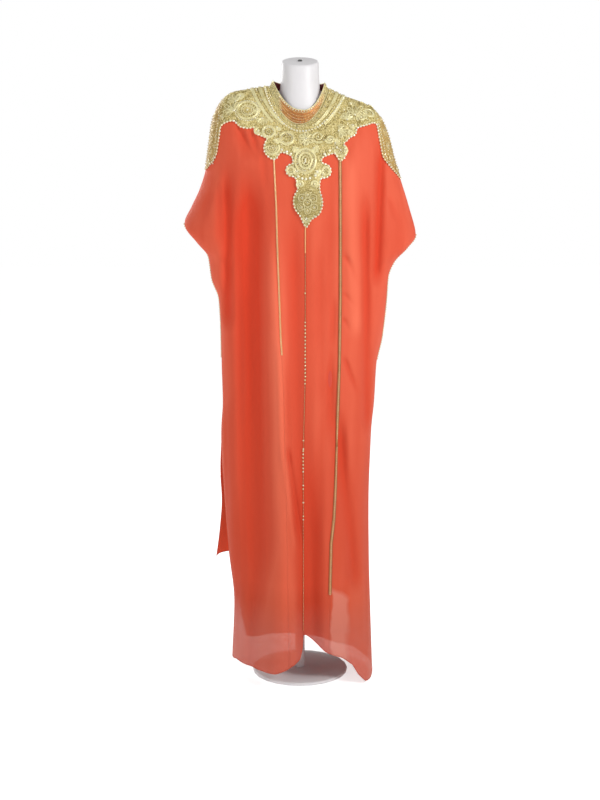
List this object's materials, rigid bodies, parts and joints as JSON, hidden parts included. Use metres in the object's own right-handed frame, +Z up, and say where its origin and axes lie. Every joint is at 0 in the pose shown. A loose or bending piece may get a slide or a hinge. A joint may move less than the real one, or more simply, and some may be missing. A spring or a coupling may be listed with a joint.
{
  "type": "kaftan on a limbless dress form with a stand",
  "caption": "Long loose kaftan with a beaded yoke, open butterfly sleeves and a sheer stepped hem, worn by a limbless dress form on a round foot.",
  "frame": {"origin": "centre of the round foot's underside, where the stand rests on the floor", "axes": "+Z up along the stand's pole, -Y towards the front of the garment, +X towards the garment's left sleeve, which is on the right seen from the front"},
  "size_m": [0.5825, 0.3197, 1.585],
  "materials": {
    "coral_cloth": "sheer coral chiffon over a lining, soft sheen",
    "coral_lining": "smooth coral lining, opaque",
    "gold_work": "dense pale gold beading and couched cord",
    "white_form": "smooth white, satin",
    "steel": "brushed",
    "dark_plug": "dark grey, matt"
  },
  "bodies": {
    "root": {"front_side_left": "coral_cloth", "front_centre_left": "coral_cloth", "front_centre_right": "coral_cloth", "front_side_right": "coral_cloth", "back_panel": "coral_cloth", "lining_front": "coral_lining", "lining_back": "coral_lining", "yoke_front": "gold_work", "yoke_back": "gold_work", "collar": "gold_work", "braid_left": "gold_work", "middle_beading": "gold_work", "braid_right": "gold_work", "cuff_trim_front_left": "gold_work", "cuff_trim_back_left": "gold_work", "cuff_trim_front_right": "gold_work", "cuff_trim_back_right": "gold_work", "form_torso": "white_form", "neck_plug": "dark_plug", "stand_flange": "steel", "stand_pole": "white_form", "stand_foot": "white_form"}
  },
  "joints": []
}
